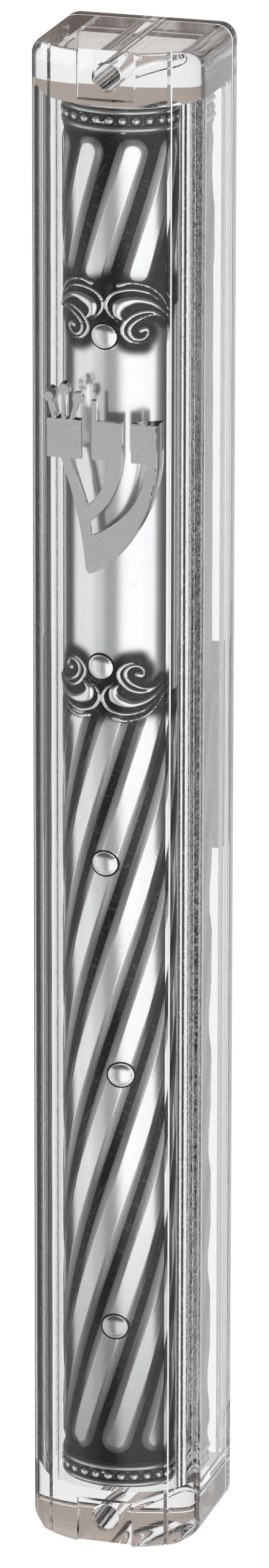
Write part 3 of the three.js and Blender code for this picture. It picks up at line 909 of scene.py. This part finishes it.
pad_low, pad_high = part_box("adhesive_pad")
PAD_CORNER = 0.6
half_across = pad_high[0] / MM
pad_foot, pad_head = pad_low[2] / MM - FOOT_Z, pad_high[2] / MM - FOOT_Z
front_face, rear_face = pad_low[1] / MM - CROWN_Y, pad_high[1] / MM - CROWN_Y
rng = np.random.default_rng(5)
loops = []
for depth, inset in ((front_face, 0.08), (front_face + 0.12, 0.0),
                     ((front_face + rear_face) / 2, 0.05), (rear_face - 0.12, 0.0),
                     (rear_face, 0.08)):
    cut = rounded_rectangle(half_across - inset, pad_foot + inset, pad_head - inset,
                            PAD_CORNER - inset * 0.5, 5)
    loops.append((depth, split_long(cut, 0.8)))
n = min(len(loop) for _, loop in loops)
loops = [(depth, loop[:n]) for depth, loop in loops]
foam_tape = loft("foam_tape", [[place(x - abs(rng.normal(0, 0.02)) * math.copysign(1, x), depth,
                                      h + rng.normal(0, 0.015)) for x, h in loop]
                               for depth, loop in loops])
soften(foam_tape, 50)
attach(foam_tape, "back")
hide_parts("adhesive_pad")

material, tree, output = new_material("glued_foam")
where = add_node(tree, "ShaderNodeTexCoord").outputs["Object"]
blotches = add_node(tree, "ShaderNodeTexNoise", {"Vector": where, "Scale": 650.0, "Detail": 4.0,
                                                 "Roughness": 0.65})
cells = add_node(tree, "ShaderNodeTexVoronoi", {"Vector": where, "Scale": 3200.0})
mottled = add_node(tree, "ShaderNodeMapRange", {"Value": blotches.outputs["Fac"], "From Min": 0.38,
                                                "From Max": 0.62})
foam = blend(tree, mottled.outputs[0], (0.30, 0.285, 0.27, 1.0), (0.50, 0.475, 0.45, 1.0))
# The pits of the foam's cells, where the bump sinks, are painted darker: painted shade in the
# pores.
pore_shade = add_node(tree, "ShaderNodeMapRange", {"Value": cells.outputs["Distance"], "From Max": 0.35,
                                              "To Min": 0.75, "To Max": 1.0})
foam_with_pore_shade = blend(tree, 1.0, foam, pore_shade.outputs[0], "MULTIPLY")
dull = add_node(tree, "ShaderNodeMapRange", {"Value": blotches.outputs["Fac"], "To Min": 0.65,
                                             "To Max": 0.9})
bump = add_node(tree, "ShaderNodeBump", {"Height": cells.outputs["Distance"], "Strength": 0.4,
                                         "Distance": 0.0001})
tape = add_node(tree, "ShaderNodeBsdfPrincipled",
                {"Base Color": foam_with_pore_shade, "Roughness": dull.outputs[0], "Normal": bump.outputs[0]})
tree.links.new(tape.outputs[0], output.inputs["Surface"])
foam_tape.data.materials.clear()
foam_tape.data.materials.append(material)

# ---- floor, light and camera ----------------------------------------------------------------
# A white floor under the hanging case, a white background, and a studio that only bounced
# light sees, set by bearing: a wide soft box on each side of the front, dark walls at the
# sides and bright and dark strips behind.

FLOOR_GAP = 0.018
FLOOR_HALF = 2.5
floor_z = FOOT_Z * MM - FLOOR_GAP
floor = mesh_object("studio_floor", [(x * FLOOR_HALF, y * FLOOR_HALF, floor_z) for x, y in
                                     ((-1, -1), (1, -1), (1, 1), (-1, 1))], [(0, 1, 2, 3)])
floor.visible_glossy = False
floor.visible_transmission = False
material, tree, output = new_material("white_floor")
paper = add_node(tree, "ShaderNodeTexNoise", {"Scale": 40.0, "Detail": 3.0})
pale = blend(tree, paper.outputs["Fac"], (0.9, 0.9, 0.9, 1.0), (0.93, 0.93, 0.93, 1.0))
matt = add_node(tree, "ShaderNodeBsdfPrincipled",
                {"Base Color": pale, "Roughness": 0.9, "Emission Color": (1.0, 1.0, 1.0, 1.0),
                 "Emission Strength": 0.85})
tree.links.new(matt.outputs[0], output.inputs["Surface"])
floor.data.materials.append(material)

world = bpy.data.worlds.new("studio")
bpy.context.scene.world = world
world.use_nodes = True
world.cycles.sampling_method = "NONE"
tree = world.node_tree
tree.nodes.clear()
output = tree.nodes.new("ShaderNodeOutputWorld")
direction = add_node(tree, "ShaderNodeTexCoord").outputs["Generated"]
part = add_node(tree, "ShaderNodeSeparateXYZ", {0: direction})
backwards = maths("MULTIPLY", part.outputs["Y"], -1.0)
bearing = maths("ARCTAN2", part.outputs["X"], backwards)


def round_the_horizon(stops):
    """Colours set by bearing, from (degrees from the front, colour) stops."""
    node = add_node(tree, "ShaderNodeValToRGB", {0: ramped(bearing, -math.pi, math.pi)})
    marks = node.color_ramp.elements
    while len(marks) < len(stops):
        marks.new(0.5)
    for mark, (degrees, colour) in zip(marks, stops):
        mark.position = (degrees + 180) / 360
        mark.color = (*colour, 1.0)
    return node.outputs["Color"]


# Each stop: bearing from the front in degrees, brightness.
STUDIO = ((-180, 0.95), (-171, 0.95), (-166, 0.05), (-129, 0.04), (-126, 0.9), (-118, 0.9),
          (-114, 0.3), (-110, 0.04), (-99, 0.04), (-90, 0.8), (-78, 1.15), (-48, 1.2), (-40, 0.9),
          (-28, 0.85), (-21, 0.5), (-5, 0.52), (5, 1.3), (12, 1.5), (62, 1.5), (69, 0.5),
          (80, 0.25), (86, 0.04), (116, 0.05), (119, 0.95), (127, 0.95), (131, 0.06),
          (142, 0.06), (146, 1.0), (180, 0.95))
BRIGHTEST = 2.0
lamps = round_the_horizon([(degrees, (level / BRIGHTEST,) * 3) for degrees, level in STUDIO])
path = add_node(tree, "ShaderNodeLightPath")
GLOSS_LEFT = 0.4      # share of the studio's brightness in the clear moulding's own gloss
covered = ramped(path.outputs["Transmission Depth"], 2.5, 3.0)
softened = maths("MAXIMUM", covered, path.outputs["Diffuse Depth"], clamp=True)
behind = ramped(maths("ABSOLUTE", bearing), math.radians(112), math.radians(120))
strength = ramped(maths("MAXIMUM", softened, behind), 0.0, 1.0, GLOSS_LEFT * BRIGHTEST, BRIGHTEST)
walls = blend(tree, 1.0, lamps, strength, "MULTIPLY")
rising_rear = maths("MULTIPLY", behind, ramped(part.outputs["Z"], -0.12, 0.1))
room = blend(tree, rising_rear, walls, (0.45, 0.38, 0.335, 1.0))
above_front = maths("MULTIPLY", ramped(part.outputs["Z"], 0.0, 0.28),
                    maths("SUBTRACT", 1.0, behind))
overhead = maths("MAXIMUM", ramped(part.outputs["Z"], 0.55, 0.9), above_front)
with_top = blend(tree, overhead, room, (0.15, 0.135, 0.125, 1.0))
underneath = ramped(part.outputs["Z"], -0.7, -0.95)
studio_light = blend(tree, underneath, with_top, (0.9, 0.9, 0.9, 1.0))

# Seen straight through the clear parts the backdrop is white, with dark cards at both sides.
WHITE, BLUE, DARK = (1.0, 1.0, 1.0), (0.12, 0.17, 0.33), (0.02, 0.02, 0.02)
BACKDROP = ((-180, WHITE), (-116, WHITE), (-111, DARK), (-98, DARK), (-93, WHITE), (95, WHITE),
            (100, DARK), (140, DARK), (146, BLUE), (151, DARK), (160, DARK), (164, WHITE),
            (180, WHITE))
cards = round_the_horizon(BACKDROP)
through = blend(tree, path.outputs["Is Camera Ray"], cards, (1.0, 1.0, 1.0, 1.0))
bounced = maths("ADD", path.outputs["Glossy Depth"], path.outputs["Diffuse Depth"], clamp=True)
seen = blend(tree, bounced, through, studio_light)
background = add_node(tree, "ShaderNodeBackground", {"Color": seen, "Strength": 1.0})
tree.links.new(background.outputs[0], output.inputs["Surface"])

AZIMUTH, ELEVATION, ROLL = (math.radians(a) for a in (16.73, 18.31, 0.08))
DISTANCE = 1.0409
FOCAL_LENGTH = 207.2
target = Vector(place(0.7, 10.0, 91.2))
back_of_view = Vector((math.sin(AZIMUTH) * math.cos(ELEVATION),
                       -math.cos(AZIMUTH) * math.cos(ELEVATION), math.sin(ELEVATION)))
lens = bpy.data.cameras.new("view")
lens.sensor_fit = "VERTICAL"
lens.sensor_height = 36.0
lens.lens = FOCAL_LENGTH
lens.clip_start = 0.01
camera = bpy.data.objects.new("view", lens)
camera.location = target + back_of_view * DISTANCE
turned = back_of_view.to_track_quat("Z", "Y").to_matrix() @ Matrix.Rotation(ROLL, 3, "Z")
camera.rotation_euler = turned.to_euler()
bpy.context.scene.collection.objects.link(camera)
bpy.context.scene.camera = camera

scene = bpy.context.scene
scene.view_settings.view_transform = "Standard"
scene.cycles.use_denoising = True
scene.cycles.max_bounces = 24
scene.cycles.transmission_bounces = 20
scene.cycles.glossy_bounces = 12
scene.cycles.transparent_max_bounces = 16
scene.cycles.caustics_reflective = True
scene.cycles.caustics_refractive = True
scene.cycles.sample_clamp_indirect = 6.0
